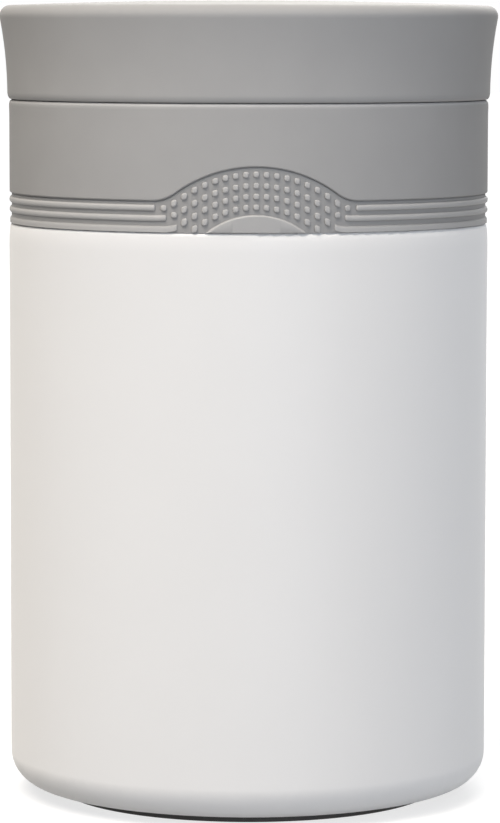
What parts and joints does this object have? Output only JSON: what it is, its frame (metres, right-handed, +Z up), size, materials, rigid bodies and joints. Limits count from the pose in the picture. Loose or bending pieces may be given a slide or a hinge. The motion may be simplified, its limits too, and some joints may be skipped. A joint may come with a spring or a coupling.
{
  "type": "insulated food jar",
  "caption": "Vacuum-insulated steel food jar with a twist-off lid, ribbed grip band, pressure vent and flared twist-off cap.",
  "frame": {"origin": "centre of the base, on the surface that the jar stands on", "axes": "+Z up along the jar's own axis, which every turning piece shares; the arch of the grip band faces -Y; +X is to the right seen from the front"},
  "size_m": [0.0934, 0.0934, 0.1493],
  "materials": {
    "white_coat": "fine satin powder coat",
    "steel": "satin, electropolished",
    "foil": "bright foil",
    "solder": "dull",
    "black_rubber": "matt",
    "grey_plastic": "matt, finely textured",
    "grey_grip": "soft satin",
    "inner_plastic": "satin",
    "foam": "rigid foam",
    "silicone": "translucent satin",
    "vent_plastic": "satin"
  },
  "bodies": {
    "jar": {"outer_shell": "white_coat", "outer_base": "steel", "vacuum_seal_plug": "solder", "getter": "solder", "base_pad": "black_rubber", "inner_vessel": "steel", "radiation_shield": "foil"},
    "lid_seal": {"lid_seal_ring": "silicone"},
    "lid": {"lid_shell": "grey_plastic", "grip_band": "grey_grip", "lid_liner": "inner_plastic", "lid_insulation": "foam", "vent_spring": "steel"},
    "vent": {"vent_button": "vent_plastic", "vent_stem": "vent_plastic", "vent_retainer": "vent_plastic", "vent_seal": "silicone"},
    "cap_seal": {"cap_seal_ring": "silicone"},
    "cap": {"cap_shell": "grey_plastic", "cap_liner": "inner_plastic", "cap_insulation": "foam"}
  },
  "joints": [
    {"name": "lid_rise", "type": "slide", "parent": "jar", "child": "lid_seal", "axis": [0, 0, 1], "range_m": [0, 0.03]},
    {"name": "lid_turn", "type": "hinge", "parent": "lid_seal", "child": "lid", "pos_m": [0, 0, 0.115], "axis": [0, 0, 1], "range_deg": [0, 720]},
    {"name": "cap_rise", "type": "slide", "parent": "lid", "child": "cap_seal", "axis": [0, 0, 1], "range_m": [0, 0.024]},
    {"name": "cap_turn", "type": "hinge", "parent": "cap_seal", "child": "cap", "pos_m": [0, 0, 0.135], "axis": [0, 0, 1], "range_deg": [0, 720]},
    {"name": "vent_press", "type": "slide", "parent": "lid", "child": "vent", "axis": [0, 0, -1], "range_m": [0, 0.0025], "stiffness_N_per_m": 200, "springref_m": -0.003, "deforming": ["vent_spring"]}
  ],
  "couplings": [
    {"joint": "lid_rise", "follows": "lid_turn", "m_per_rad": 0.0023873},
    {"joint": "cap_rise", "follows": "cap_turn", "m_per_rad": 0.0019099}
  ]
}
